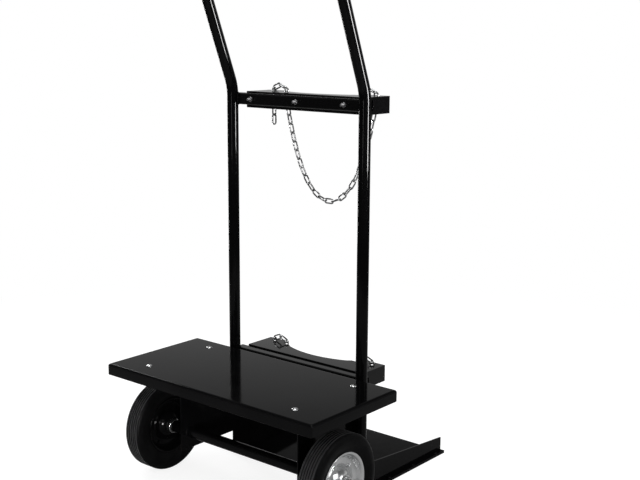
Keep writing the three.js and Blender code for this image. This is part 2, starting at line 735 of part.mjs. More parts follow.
// A link at a middle point in the chain's XZ plane, flat in that plane or turned across it
function linkAt(middle, along, flat) {
  const length = new THREE.Vector3(along.x, 0, along.y).normalize();
  const deep = new THREE.Vector3(0, 1, 0);
  const width = flat ? new THREE.Vector3().crossVectors(deep, length) : deep;
  const thickness = new THREE.Vector3().crossVectors(length, width);
  const matrix = new THREE.Matrix4().makeBasis(length, width, thickness);
  matrix.setPosition(middle.x, CHAIN_Y, middle.y);
  return LINK.transform(matrix.elements);
}

// Links strung between the joints of a path, flat and turned by turns
function strung(joints, firstFlat) {
  const links = [];
  for (let i = 0; i + 1 < joints.length; i += 1) {
    const middle = joints[i].clone().add(joints[i + 1]).multiplyScalar(0.5);
    const along = joints[i + 1].clone().sub(joints[i]);
    links.push(linkAt(middle, along, (i % 2 === 0) === firstFlat));
  }
  return join(links);
}

// The fixed end over a horn: a tail, the link in the hole, two links over the top and the link in the notch
const SPAN = HOLE_X - NOTCH_X;
const RISE = Math.sqrt(PITCH * PITCH - (SPAN * SPAN) / 4);
const LIFT = LINK_W / 2 - (RISE / PITCH) * (PITCH / 2 - LINK_STRETCH) + SEAT;

function chainEnd(top, side, tailAtHole, tailLinks) {
  const joints = [
    new THREE.Vector2(side * HOLE_X, top + LIFT - PITCH),
    new THREE.Vector2(side * HOLE_X, top + LIFT),
    new THREE.Vector2(side * (HOLE_X - SPAN / 2), top + LIFT + RISE),
    new THREE.Vector2(side * NOTCH_X, top + LIFT),
    new THREE.Vector2(side * NOTCH_X, top + LIFT - PITCH),
  ];
  if (!tailAtHole) joints.reverse();
  const tailX = joints[0].x;
  for (let i = 0; i < tailLinks; i += 1) {
    joints.unshift(new THREE.Vector2(tailX, joints[0].y - PITCH));
  }
  const linkCount = joints.length - 1;
  return strung(joints, linkCount % 2 === 1);
}

// The free length hangs as a catenary between the two end links
function catenary(top) {
  const hangZ = top + LIFT - PITCH / 2 - END_HALF;
  const [from, to] = [-NOTCH_X, HOLE_X];
  const start = END_HALF - WIRE - CHAIN_GAP;
  const length = (LINKS - 1) * PITCH + 2 * start;
  const half = (to - from) / 2;
  let [low, high] = [half / 50, half * 50];
  for (let i = 0; i < 80; i += 1) {
    const guess = (low + high) / 2;
    if (2 * guess * Math.sinh(half / guess) > length) low = guess;
    else high = guess;
  }
  const scale = (low + high) / 2;
  const sag = scale * (Math.cosh(half / scale) - 1);
  const links = [];
  for (let i = 0; i < LINKS; i += 1) {
    const run = start + i * PITCH - length / 2;
    const across = scale * Math.asinh(run / scale);
    const rise = scale * (Math.cosh(across / scale) - 1);
    const middle = new THREE.Vector2((from + to) / 2 + across, hangZ - sag + rise);
    links.push(linkAt(middle, new THREE.Vector2(1, Math.sinh(across / scale)), i % 2 === 1));
  }
  return join(links);
}

function chainSet(prefix, top) {
  place(`${prefix}_chain_end_left`, "zinc", geometryOf(chainEnd(top, -1, true, TAIL_LEFT)));
  place(`${prefix}_chain_end_right`, "zinc", geometryOf(chainEnd(top, 1, false, TAIL_RIGHT)));
  place(`${prefix}_chain`, "zinc", geometryOf(catenary(top)));
}

chainSet("upper", UPPER_TOP + SADDLE_RISE);
chainSet("lower", LOWER_TOP + SADDLE_RISE);

export default cart;
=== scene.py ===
"""Welding cart: glossy black frame, zinc chains and rims, ribbed rubber tyres, on a white studio floor."""
import json
import math

import bmesh
import bpy
from mathutils import Matrix, Vector
from mathutils.geometry import tessellate_polygon

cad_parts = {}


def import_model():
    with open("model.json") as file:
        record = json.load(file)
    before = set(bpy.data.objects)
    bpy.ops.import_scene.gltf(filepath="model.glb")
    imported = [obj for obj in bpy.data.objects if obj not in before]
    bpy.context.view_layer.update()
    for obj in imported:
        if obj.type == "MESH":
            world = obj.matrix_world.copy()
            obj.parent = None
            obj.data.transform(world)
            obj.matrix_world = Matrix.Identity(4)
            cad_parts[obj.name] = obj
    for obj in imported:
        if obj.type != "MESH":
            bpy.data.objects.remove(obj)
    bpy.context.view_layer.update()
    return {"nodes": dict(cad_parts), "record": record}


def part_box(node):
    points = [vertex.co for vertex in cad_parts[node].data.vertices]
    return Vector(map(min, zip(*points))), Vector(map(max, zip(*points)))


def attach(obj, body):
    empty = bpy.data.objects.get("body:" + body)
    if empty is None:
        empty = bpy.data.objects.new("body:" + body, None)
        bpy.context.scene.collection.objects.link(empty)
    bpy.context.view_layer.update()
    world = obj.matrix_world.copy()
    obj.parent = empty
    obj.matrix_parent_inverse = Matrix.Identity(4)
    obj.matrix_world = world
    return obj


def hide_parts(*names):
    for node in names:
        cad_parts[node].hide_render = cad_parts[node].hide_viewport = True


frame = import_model()
MM = 0.001

# Sizes that repeat the model's own, in metres
SEAT = 0.3 * MM
TUBE_R = 12.5 * MM
TUBE_WALL = 2 * MM
BEND_R = 110 * MM
LEAN = math.radians(21.5)
LEG_LENGTH = 197 * MM
GRIP_BEND_R = 55 * MM
GRIP_STUB = 3 * MM
UPPER_DROP = 13.5 * MM
TRAY_SHEET = 2 * MM
TRAY_BEND_R = 5 * MM
SCREW_R = 3 * MM
SCREW_HOLE_R = 3.3 * MM
SCREW_HEAD_H = 3.6 * MM
SCREW_SEAT_R = 7.5 * MM
SCREW_SEAT_DEPTH = 0.6 * MM
TYRE_BORE_R = 60.5 * MM
TYRE_BEAD = 17.7 * MM
RIM_HALF = 20 * MM
RIM_LIP_H = 4 * MM
RIM_SHEET = 2 * MM
DISH_R = 49 * MM
DISC_R = 36 * MM
DOME_H = 18 * MM
HUB_BORE_R = 13 * MM
BUSH_R = 12.7 * MM
BUSH_BORE_R = 10.3 * MM
CHEEK_SHEET = 3 * MM
BOLT_R = 3 * MM
BOLT_AF = 10 * MM
BOLT_HEAD_H = 4 * MM
WALL_BOLT_R = 2 * MM
WIRE_R = 1.7 * MM
LINK_W = 13 * MM
LINK_L = 26.4 * MM
LINKS = 27
TAIL_LEFT = 3
TAIL_RIGHT = 2
CHAIN_BITE = 0.4 * MM
CHAIN_GAP = 0.4 * MM
CHAIN_SET = 14 * MM
HOLE_SET = 25 * MM
NOTCH_SET = 62 * MM

# Sizes of the fine detail
EDGE = 0.6 * MM
TUBE_EDGE = 0.4 * MM
SADDLE_EDGE = 1.2 * MM
SHAFT_EDGE = 1.5 * MM
CORNER_R = 2.5 * MM
BEAD_R = 1.7 * MM
BEAD_RIPPLE = 2.4 * MM
BEAD_END = 4 * BEAD_R
GROOVES = 5
GROOVE_PITCH = 6 * MM
GROOVE_W = 3.6 * MM
GROOVE_FLOOR = 0.3 * MM
GROOVE_DEPTH = 1.6 * MM
TREAD_HALF = 17 * MM
SCREW_POINT = 1 * MM
WALL_BOLT_POINT = 0.5 * MM
RIM_BOLTS = 4
RIM_BOLT_RING_R = 44.5 * MM
RIM_BOLT_TURN = math.radians(30)
RIM_BOLT_AF = 6.5 * MM
RIM_BOLT_H = 3 * MM
THREAD_PITCH = 1 * MM
THREAD_DEPTH = 0.45 * MM

# Shares of the radius, height or length that each is used with
BEAD_WAVE = 0.12
WELD_SET = 0.3
FOOT_SINK = 0.4
HEX_FACE = 0.48
HEAD_RIM = 0.12
HEAD_FLAT = 0.02
SCREW_TIP = 0.7
WALL_HEAD = 0.6
BOLT_CAP = 0.6
BOLT_TIP = 0.75
THREAD_SHARE = 0.5
PIN_TIP = 0.5
LINK_SEAM = 1.12
SEAM_REACH = 0.2

# Facets of round pieces
ROUND_TUBE = 40
ROUND_WHEEL = 96
ROUND_SMALL = 28
ROUND_HEX = 48
WIRE_SIDES = 10
BEAD_SIDES = 8
RIPPLE_STEPS = 4
ARC_STEPS = 10
LINK_STEPS = 7
BEND_STEPS = 14
EDGE_STEPS = 6
CURVE_STEPS = 5
RIM_STEPS = 3
BEVEL_STEPS = 2

# Shading and joining of meshes
CREASE = math.radians(35)
HEX_CREASE = math.radians(28)
BEAD_CREASE = math.radians(60)
HEX_CHAMFER = math.radians(30)
SAME_POINT = 0.001 * MM
WELD_GAP = 0.01 * MM

# Search for the curve of a hanging chain
CATENARY_RANGE = 50
CATENARY_STEPS = 80

# Looks: the part of a noise that is used, and the painted highlight on the tyres' lands, which a noise
# makes patchy
NOISE_LOW = 0.3
NOISE_HIGH = 0.7
SKIN_DETAIL = 1.5
LAND_FADE = 0.5 * MM
LAND_FULL = LAND_FADE / 3
# Grey of the painted highlight on the lands, and the range of its patchiness
LAND_HIGHLIGHT_GREY = (0.038, 0.038, 0.039, 1)
LAND_PATCHES = 40.0
LAND_HIGHLIGHT_SPREAD = (0.55, 1.0)

# Camera of the photograph
CAMERA_AT = Vector((1.4962, -1.7309, 0.9754))
CAMERA_AZIMUTH = math.radians(39.725)
CAMERA_ELEVATION = math.radians(11.015)
CAMERA_ROLL = math.radians(0.32)
CAMERA_LENS = 60.54
SENSOR_WIDTH = 36

# Stage: floor, fill light, and the studio that gloss sees as steps of height and brightness
FLOOR_R = 1.9
SHADOW_REACH = 0.7
FLOOR_SHADE = 0.3
FLOOR_GLOW = 0.82
FLOOR_GLOSS = 0.4
FLOOR_LIT = 0.8
WORLD_FILL = 0.45
STUDIO_BACK = (
    (0.0, 0.08), (0.06, 0.5), (0.15, 0.58), (0.27, 0.56), (0.30, 0.42),
    (0.32, 0.38), (0.38, 0.14), (0.5, 0.14), (0.9, 0.14),
)
STUDIO_FRONT = ((0.0, 0.12), (0.03, 0.45), (0.09, 0.4), (0.31, 0.14), (0.9, 0.08))
FRONT_STARTS = -0.2
FRONT_FULL = 0.75
WHITE = (1, 1, 1, 1)
MIDDLE = (0, 0, 0.4)
NEAR_WHEEL = (0.27, -0.17, 0.1)
FAR_HUB = (-0.22, -0.174, 0.1)
TUBES = (0, -0.07, 0.962)

SIDES = (("left", -1), ("right", 1))
LEVELS = ("upper", "lower")
CORNERS = ("front_left", "front_right", "rear_left", "rear_right")
X = Vector((1, 0, 0))
Y = Vector((0, 1, 0))
Z = Vector((0, 0, 1))
LEG = Vector((0, -math.sin(LEAN), math.cos(LEAN)))


# Materials
def shader(name):
    """A new node material: its nodes, links, Principled shader and a coordinate output in metres."""
    material = bpy.data.materials.new(name)
    material.use_nodes = True
    nodes = material.node_tree.nodes
    coords = nodes.new("ShaderNodeTexCoord").outputs["Object"]
    return material, nodes, material.node_tree.links, nodes["Principled BSDF"], coords


def noise(nodes, links, coords, scale, detail=3.0):
    """Cloudy factor; the scale is in features for each metre."""
    texture = nodes.new("ShaderNodeTexNoise")
    texture.inputs["Scale"].default_value = scale
    texture.inputs["Detail"].default_value = detail
    links.new(coords, texture.inputs["Vector"])
    return texture.outputs["Fac"]


def ramp(nodes, links, factor, low, high):
    """Factor spread over two colours."""
    node = nodes.new("ShaderNodeValToRGB")
    first, last = node.color_ramp.elements
    first.position = NOISE_LOW
    last.position = NOISE_HIGH
    first.color = (*low, 1)
    last.color = (*high, 1)
    links.new(factor, node.inputs["Fac"])
    return node.outputs["Color"]


def spread(nodes, links, factor, low, high):
    """Factor spread over two numbers."""
    node = nodes.new("ShaderNodeMapRange")
    node.inputs["From Min"].default_value = NOISE_LOW
    node.inputs["From Max"].default_value = NOISE_HIGH
    node.inputs["To Min"].default_value = low
    node.inputs["To Max"].default_value = high
    links.new(factor, node.inputs["Value"])
    return node.outputs["Result"]


def bumped(nodes, links, height, strength, distance, principled):
    """Gives a shader a fine skin."""
    node = nodes.new("ShaderNodeBump")
    node.inputs["Strength"].default_value = strength
    node.inputs["Distance"].default_value = distance
    links.new(height, node.inputs["Height"])
    links.new(node.outputs["Normal"], principled.inputs["Normal"])


def finish(name, tones, tone_scale, roughness, rough_scale, bump, metallic=0.0, specular=0.5):
    """A finish with cloudy colour, patchy gloss and a fine skin: bump is its scale, strength and height."""
    material, nodes, links, principled, coords = shader(name)
    tone = noise(nodes, links, coords, tone_scale)
    links.new(ramp(nodes, links, tone, *tones), principled.inputs["Base Color"])
    gloss = spread(nodes, links, noise(nodes, links, coords, rough_scale), *roughness)
    links.new(gloss, principled.inputs["Roughness"])
    principled.inputs["Metallic"].default_value = metallic
    principled.inputs["Specular IOR Level"].default_value = specular
    scale, strength, height = bump
    skin = noise(nodes, links, coords, scale, SKIN_DETAIL)
    bumped(nodes, links, skin, strength, height, principled)
    return material


def paint(name, specular):
    """Gloss black powder coat."""
    return finish(
        name,
        tones=((0.001, 0.001, 0.0011), (0.002, 0.002, 0.0022)),
        tone_scale=9.0,
        roughness=(0.07, 0.12),
        rough_scale=60.0,
        bump=(420.0, 0.02, 0.4 * MM),
        specular=specular,
    )


MATERIALS = {
    "black_paint": paint("black_paint", specular=0.08),
    "saddle_paint": paint("saddle_paint", specular=0.2),
    "zinc": finish(
        "zinc",
        tones=((0.58, 0.585, 0.59), (0.68, 0.685, 0.685)),
        tone_scale=35.0,
        roughness=(0.18, 0.26),
        rough_scale=60.0,
        bump=(300.0, 0.015, 0.3 * MM),
        metallic=1.0,
    ),
    # A darker copy of the zinc for the chain links: painted shade on the same zinc plating.
    "chain_zinc": finish(
        "chain_zinc",
        tones=((0.36, 0.365, 0.37), (0.5, 0.505, 0.505)),
        tone_scale=60.0,
        roughness=(0.12, 0.2),
        rough_scale=90.0,
        bump=(300.0, 0.02, 0.3 * MM),
        metallic=1.0,
    ),
    "bright_steel": finish(
        "bright_steel",
        tones=((0.24, 0.24, 0.245), (0.32, 0.32, 0.325)),
        tone_scale=80.0,
        roughness=(0.28, 0.42),
        rough_scale=260.0,
        bump=(700.0, 0.04, 0.3 * MM),
        metallic=1.0,
    ),
    "tyre_rubber": finish(
        "tyre_rubber",
        tones=((0.0018, 0.0018, 0.0019), (0.0034, 0.0034, 0.0036)),
        tone_scale=30.0,
        roughness=(0.3, 0.4),
        rough_scale=90.0,
        bump=(900.0, 0.06, 0.3 * MM),
        specular=0.03,
    ),
    "bush_plastic": finish(
        "bush_plastic",
        tones=((0.02, 0.02, 0.021), (0.035, 0.035, 0.036)),
        tone_scale=70.0,
        roughness=(0.45, 0.6),
        rough_scale=200.0,
        bump=(500.0, 0.05, 0.3 * MM),
    ),
}


# Mesh makers
class Shape:
    """Vertices and faces that several parts add to."""

    def __init__(self, verts=(), faces=()):
        self.verts = list(verts)
        self.faces = [list(face) for face in faces]

    def add(self, verts, faces):
        """Takes in faces that count from the first of the new vertices."""
        base = len(self.verts)
        self.verts += verts
        self.faces += [[base + i for i in face] for face in faces]
        return self

    def join(self, other):
        return self.add(other.verts, other.faces)

    def moved(self, matrix):
        return Shape([matrix @ v for v in self.verts], self.faces)


def piece(name, shape, slot, body, replaces=(), crease=CREASE, look=None):
    """A smooth mesh with sharp creases, riding on a body, in its slot's material or another look."""
    mesh = bpy.data.meshes.new(name)
    mesh.from_pydata([tuple(v) for v in shape.verts], [], shape.faces)
    tidy = bmesh.new()
    tidy.from_mesh(mesh)
    bmesh.ops.remove_doubles(tidy, verts=tidy.verts, dist=SAME_POINT)
    bmesh.ops.recalc_face_normals(tidy, faces=tidy.faces)
    tidy.to_mesh(mesh)
    tidy.free()
    mesh.polygons.foreach_set("use_smooth", [True] * len(mesh.polygons))
    mesh.set_sharp_from_angle(angle=crease)
    mesh.materials.append(MATERIALS[look or slot])
    made = bpy.data.objects.new(name, mesh)
    bpy.context.scene.collection.objects.link(made)
    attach(made, body)
    if replaces:
        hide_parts(*replaces)
    return made


def grid_faces(rings, sides, closed_rings=False):
    """Quads between rings of equal count."""
    last = rings if closed_rings else rings - 1
    faces = []
    for i in range(last):
        low, high = i * sides, ((i + 1) % rings) * sides
        for j in range(sides):
            k = (j + 1) % sides
            faces.append([low + j, low + k, high + k, high + j])
    return faces


def lathe(profile, sides=ROUND_SMALL, closed=True):
    """Turned body about Z from points of radius and height: a closed profile, or one with capped ends."""
    verts = []
    for radius, height in profile:
        for j in range(sides):
            turn = 2 * math.pi * j / sides
            verts.append(Vector((radius * math.cos(turn), radius * math.sin(turn), height)))
    shape = Shape(verts, grid_faces(len(profile), sides, closed))
    if not closed:
        last = (len(profile) - 1) * sides
        shape.faces.append(list(range(sides)))
        shape.faces.append(list(range(last, last + sides)))
    return shape


def hex_bar(flats, low, high, bore=0.0):
    """Hexagon along Z with the corners of its faces turned off, solid or with a bore."""
    crown = flats / math.sqrt(3)
    face = flats * HEX_FACE
    chamfer = (crown - face) * math.tan(HEX_CHAMFER)
    levels = [(low, face), (low + chamfer, crown), (high - chamfer, crown), (high, face)]
    verts = []
    for height, limit in levels:
        for j in range(ROUND_HEX):
            turn = 2 * math.pi * j / ROUND_HEX
            across = (turn + math.pi / 6) % (math.pi / 3) - math.pi / 6
            reach = min(flats / 2 / math.cos(across), limit)
            verts.append(Vector((reach * math.cos(turn), reach * math.sin(turn), height)))
    if bore:
        for height in (high, low):
            for j in range(ROUND_HEX):
                turn = 2 * math.pi * j / ROUND_HEX
                verts.append(Vector((bore * math.cos(turn), bore * math.sin(turn), height)))
        return Shape(verts, grid_faces(len(levels) + 2, ROUND_HEX, True))
    shape = Shape(verts, grid_faces(len(levels), ROUND_HEX))
    last = (len(levels) - 1) * ROUND_HEX
    shape.faces.append(list(range(ROUND_HEX)))
    shape.faces.append(list(range(last, last + ROUND_HEX)))
    return shape


def between(p, q, r, s, t):
    """Catmull-Rom value at a share of the way from q to r, with p and s beyond them."""
    square = 2 * p - 5 * q + 4 * r - s
    cube = 3 * q - p - 3 * r + s
    return 0.5 * (2 * q + (r - p) * t + square * t * t + cube * t**3)


def smooth_curve(points, steps=CURVE_STEPS):
    """Smooth curve through points of two numbers."""
    path = []
    for i in range(len(points) - 1):
        before = points[max(i - 1, 0)]
        start, end = points[i], points[i + 1]
        after = points[min(i + 2, len(points) - 1)]
        for k in range(steps):
            around = zip(before, start, end, after)
            path.append(tuple(between(*values, k / steps) for values in around))
    path.append(points[-1])
    return path


def sweep(points, radii, sides, closed=False):
    """Round bar along points, by rings that turn as little as they can."""
    count = len(points)
    tangents = []
    for i, point in enumerate(points):
        before = points[i - 1] if i > 0 or closed else point
        after = points[(i + 1) % count] if i + 1 < count or closed else point
        tangents.append((after - before).normalized())
    side = tangents[0].orthogonal().normalized()
    verts = []
    for point, tangent, radius in zip(points, tangents, radii):
        side = (side - tangent * side.dot(tangent)).normalized()
        up = tangent.cross(side)
        for j in range(sides):
            turn = 2 * math.pi * j / sides
            verts.append(point + (side * math.cos(turn) + up * math.sin(turn)) * radius)
    shape = Shape(verts, grid_faces(count, sides, closed))
    if not closed:
        shape.faces.append(list(range(sides)))
        shape.faces.append(list(range((count - 1) * sides, count * sides)))
    return shape


def pipe(points, radius, wall, sides=ROUND_TUBE):
    """Hollow tube along points with open ends."""
    outer = sweep(points, [radius] * len(points), sides)
    inner = sweep(points, [radius - wall] * len(points), sides)
    shape = Shape(outer.verts, outer.faces[:-2])
    shape.add(inner.verts, inner.faces[:-2])
    base = len(points) * sides
    for ring in (0, (len(points) - 1) * sides):
        for j in range(sides):
            k = (j + 1) % sides
            shape.faces.append([ring + j, ring + k, base + ring + k, base + ring + j])
    return shape


def bend(corner, start_dir, end_dir, radius, steps=BEND_STEPS):
    """Points of a bend of that radius about a corner."""
    angle = start_dir.angle(end_dir)
    reach = radius * math.tan(angle / 2)
    start = corner - start_dir * reach
    inward = (end_dir - start_dir * end_dir.dot(start_dir)).normalized()
    middle = start + inward * radius
    points = []
    for i in range(steps + 1):
        turn = angle * i / steps
        points.append(middle - inward * radius * math.cos(turn) + start_dir * radius * math.sin(turn))
    return points


def circle(middle, axis_a, axis_b, radius, steps):
    """Points of a full circle in the plane of two axes."""
    points = []
    for i in range(steps):
        turn = 2 * math.pi * i / steps
        points.append(middle + axis_a * radius * math.cos(turn) + axis_b * radius * math.sin(turn))
    return points


def centre(node):
    """Middle of a node's box."""
    low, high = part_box(node)
    return (low + high) / 2


# Places read from the frame
upright_x = centre("right_upright").x
upright_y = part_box("right_upright")[1].y - TUBE_R
foot_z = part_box("right_upright")[0].z
cross_low, cross_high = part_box("upper_cross_tube")
cross = cross_high.z - cross_low.z
tops = {level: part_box(f"{level}_cross_tube")[1].z for level in LEVELS}
saddle_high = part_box("upper_saddle")[1]
saddle_tops = {level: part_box(f"{level}_saddle")[1].z for level in LEVELS}
bend_z = tops["upper"] + UPPER_DROP
tray_low, tray_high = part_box("tray")
hub_middle = centre("right_wheel_hub")
hub_low, hub_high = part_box("right_wheel_hub")
hub_half = (hub_high.x - hub_low.x) / 2
hub_r = (hub_high.z - hub_low.z) / 2
tyre_low, tyre_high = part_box("right_wheel_tyre")
tyre_half = (tyre_high.x - tyre_low.x) / 2
tyre_r = (tyre_high.z - tyre_low.z) / 2


# Tube frame: the handle and the uprights meet without a step
def upright(prefix, side):
    """Straight tube from its foot to the bend, then along the lean of the handle."""
    corner = Vector((side * upright_x, upright_y, bend_z))
    foot = Vector((side * upright_x, upright_y, foot_z))
    points = [foot, *bend(corner, Z, LEG, BEND_R), corner + LEG * (LEG_LENGTH + SEAT / 2)]
    shape = pipe(points, TUBE_R, TUBE_WALL)
    piece(f"{prefix}_upright_tube", shape, "black_paint", "frame", [f"{prefix}_upright"])


def push_handle():
    """U-shaped grip on top of the two legs."""
    rise = LEG_LENGTH + SEAT + GRIP_STUB + GRIP_BEND_R
    left = Vector((-upright_x, upright_y, bend_z)) + LEG * rise
    right = Vector((upright_x, upright_y, bend_z)) + LEG * rise
    start = LEG * (LEG_LENGTH + SEAT / 2 - rise)
    arcs = [*bend(left, LEG, X, GRIP_BEND_R), *bend(right, X, -LEG, GRIP_BEND_R)]
    points = [left + start, *arcs, right + start]
    piece("push_handle_tube", pipe(points, TUBE_R, TUBE_WALL), "black_paint", "frame", ["push_handle"])


for prefix, side in SIDES:
    upright(prefix, side)
push_handle()


# Weld beads: rippled half-sunk bars along the joints
def bead(points, closed=False):
    """A bead along a path, with a ripple at each step of the torch."""
    steps = []
    count = len(points) if closed else len(points) - 1
    for i in range(count):
        start, end = points[i], points[(i + 1) % len(points)]
        parts = max(1, round((end - start).length / (BEAD_RIPPLE / RIPPLE_STEPS)))
        steps += [start.lerp(end, k / parts) for k in range(parts)]
    if not closed:
        steps.append(points[-1])
    waves = [math.sin(2 * math.pi * i / RIPPLE_STEPS) for i in range(len(steps))]
    radii = [BEAD_R * (1 + BEAD_WAVE * wave) for wave in waves]
    return sweep(steps, radii, BEAD_SIDES, closed)


def frame_welds(prefix, side):
    """Beads on one side of the frame: cross tubes, cheek and axle, and the foot of the upright."""
    cheek_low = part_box(f"{prefix}_cheek")[0]
    inner = side * (upright_x - TUBE_R)
    shape = Shape()
    for level in LEVELS:
        front = Vector((inner, cross_low.y, tops[level]))
        shape.join(bead([front - Z * BEAD_R, front - Z * (cross - BEAD_R)]))
        for height in (tops[level], tops[level] - cross):
            middle = Vector((side * upright_x, upright_y, height))
            rise = math.asin((cross_low.y - upright_y) / TUBE_R)
            arc = []
            for i in range(ARC_STEPS + 1):
                turn = rise + (math.pi / 2 - rise) * i / ARC_STEPS
                arc.append(middle - X * side * TUBE_R * math.cos(turn) + Y * TUBE_R * math.sin(turn))
            shape.join(bead(arc))
    seam = Vector((side * (upright_x - TUBE_R - SEAT / 2), upright_y - TUBE_R * WELD_SET, 0))
    shape.join(bead([seam + Z * (cheek_low.z + BEAD_END), seam + Z * (tray_low.z - BEAD_END)]))
    axle = Vector((0, hub_middle.y, hub_middle.z))
    for web in (upright_x - TUBE_R - SEAT, upright_x - TUBE_R - SEAT - CHEEK_SHEET):
        shape.join(bead(circle(axle + X * side * web, Y, Z, TUBE_R, ROUND_TUBE), closed=True))
    foot = Vector((side * upright_x, upright_y, foot_z))
    shape.join(bead(circle(foot, X, Y, TUBE_R - BEAD_R * FOOT_SINK, ROUND_TUBE), closed=True))
    piece(f"{prefix}_frame_welds", shape, "black_paint", "frame", crease=BEAD_CREASE)


for prefix, side in SIDES:
    frame_welds(prefix, side)


# Tray: one folded sheet with round bends and pressed screw seats
def rounded_frame(inset, height):
    """Ring round the tray at an inset, with a quarter circle at each corner."""
    set_in = inset + CORNER_R
    right, left = tray_high.x - set_in, tray_low.x + set_in
    rear, front = tray_high.y - set_in, tray_low.y + set_in
    points = []
    for quarter, (x, y) in enumerate(((right, rear), (left, rear), (left, front), (right, front))):
        for i in range(EDGE_STEPS + 1):
            turn = math.pi / 2 * (quarter + i / EDGE_STEPS)
            points.append(Vector((x + CORNER_R * math.cos(turn), y + CORNER_R * math.sin(turn), height)))
    return points


def fold(radius, start, top):
    """Quarter bend at the edge of the sheet, as points of inset and height."""
    points = []
    for i in range(EDGE_STEPS + 1):
        turn = math.pi / 2 * i / EDGE_STEPS
        points.append((start + radius * (1 - math.cos(turn)), top - radius * (1 - math.sin(turn))))
    return points


def tray_sheet():
    """Outside and inside of the sheet, its lower edge, its screw seats, and the flats between them."""
    top = tray_high.z
    under = top - TRAY_SHEET
    flat = TRAY_BEND_R + 2 * EDGE
    outside = [
        (EDGE, tray_low.z),
        (0.0, tray_low.z + EDGE),
        *fold(TRAY_BEND_R, 0.0, top),
        (flat, top),
    ]
    inside = [
        (TRAY_SHEET - EDGE / 2, tray_low.z),
        (TRAY_SHEET, tray_low.z + EDGE / 2),
        *fold(TRAY_BEND_R - TRAY_SHEET, TRAY_SHEET, under),
        (flat, under),
    ]
    shape = Shape()
    for levels in (outside, inside, (outside[0], inside[0])):
        rings = [rounded_frame(inset, height) for inset, height in levels]
        verts = [point for ring in rings for point in ring]
        shape.add(verts, grid_faces(len(rings), len(rings[0])))
    holes = []
    seat_levels = [
        (SCREW_SEAT_R + 2 * EDGE, top),
        (SCREW_SEAT_R + EDGE / 2, top),
        (SCREW_SEAT_R - EDGE / 2, top - SCREW_SEAT_DEPTH),
        (SCREW_HOLE_R, top - SCREW_SEAT_DEPTH),
        (SCREW_HOLE_R, under),
    ]
    for where in CORNERS:
        place = centre(f"tray_screw_{where}")
        rings = [circle(Vector((place.x, place.y, z)), X, Y, r, ROUND_SMALL) for r, z in seat_levels]
        shape.add([point for ring in rings for point in ring], grid_faces(len(rings), ROUND_SMALL))
        holes.append(rings)
    for height, ring in ((top, 0), (under, -1)):
        loops = [rounded_frame(flat, height), *[rings[ring] for rings in holes]]
        points = [point for loop in loops for point in loop]
        shape.add(points, [list(face) for face in tessellate_polygon(loops)])
    piece("tray_sheet", shape, "black_paint", "frame", ["tray"])


tray_sheet()


# Screws, bolts and nuts
def dome(radius, height, steps=EDGE_STEPS):
    """Profile of a low round head from its rim to its top."""
    points = [(radius, 0.0), (radius, height * HEAD_RIM)]
    for i in range(1, steps):
        turn = math.pi / 2 * i / steps
        points.append((radius * math.cos(turn), height * (HEAD_RIM + (1 - HEAD_RIM) * math.sin(turn))))
    points.append((radius * HEAD_FLAT, height))
    return points


def domed_screw(node, shank_r, point, head_r, head_h):
    """Upright screw with a domed head and a pointed shank, as tall as its node's box."""
    low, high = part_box(node)
    base = high.z - head_h
    tip = low.z - base
    shank = [(shank_r * SCREW_TIP, tip), (shank_r, tip + point), (shank_r, 0.0)]
    place = Matrix.Translation((centre(node).x, centre(node).y, base))
    return lathe([*shank, *dome(head_r, head_h)], closed=False).moved(place)


def head_radius(node):
    """Half the width of a screw's box, which its head fills."""
    low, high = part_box(node)
    return (high.x - low.x) / 2


def tray_screw(where):
    node = f"tray_screw_{where}"
    shape = domed_screw(node, SCREW_R, SCREW_POINT, head_radius(node), SCREW_HEAD_H)
    piece(f"tray_screw_head_{where}", shape, "zinc", "frame", [node])


def wall_bolt(node):
    head_r = head_radius(node)
    shape = domed_screw(node, WALL_BOLT_R, WALL_BOLT_POINT, head_r, head_r * WALL_HEAD)
    piece(f"{node}_head", shape, "black_paint", "frame", [node])


def laid_back(node):
    """Turns a shape from Z to Y, with its foot at the front of a node's box."""
    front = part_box(node)[0].y
    turn = Matrix.Rotation(-math.pi / 2, 4, "X")
    return Matrix.Translation((centre(node).x, front, centre(node).z)) @ turn


def saddle_bolt(level, number):
    """Hexagon head behind the saddle's flange, threaded tip in front of the nut."""
    node = f"{level}_bolt_{number}"
    low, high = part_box(node)
    length = high.y - low.y
    head = length - BOLT_HEAD_H
    profile = [(BOLT_R * BOLT_CAP, 0.0), (BOLT_R * BOLT_TIP, 0.0), (BOLT_R, THREAD_PITCH)]
    turns = int(length * THREAD_SHARE / THREAD_PITCH)
    for i in range(1, turns):
        profile.append((BOLT_R - THREAD_DEPTH, (i + 0.5) * THREAD_PITCH))
        profile.append((BOLT_R, (i + 1) * THREAD_PITCH))
    profile.append((BOLT_R, head))
    shape = lathe(profile, closed=False).join(hex_bar(BOLT_AF, head, length)).moved(laid_back(node))
    piece(f"{node}_threaded", shape, "bright_steel", "frame", [node], crease=HEX_CREASE)


def saddle_nut(level, number):
    node = f"{level}_nut_{number}"
    low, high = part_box(node)
    shape = hex_bar(BOLT_AF, 0.0, high.y - low.y, BOLT_R + SEAT).moved(laid_back(node))
    piece(f"{node}_hex", shape, "bright_steel", "frame", [node], crease=HEX_CREASE)


for where in CORNERS:
    tray_screw(where)
for number in (1, 2, 3):
    for prefix, side in SIDES:
        wall_bolt(f"{prefix}_wall_bolt_{number}")
    for level in LEVELS:
        saddle_bolt(level, number)
        saddle_nut(level, number)


# Wheels: turned about Z, then laid along X, outwards on their own side
def wheel_place(side):
    """Matrix that lays a turned shape along the axle on one side."""
    turn = Matrix.Rotation(side * math.pi / 2, 4, "Y")
    return Matrix.Translation((side * hub_middle.x, hub_middle.y, hub_middle.z)) @ turn


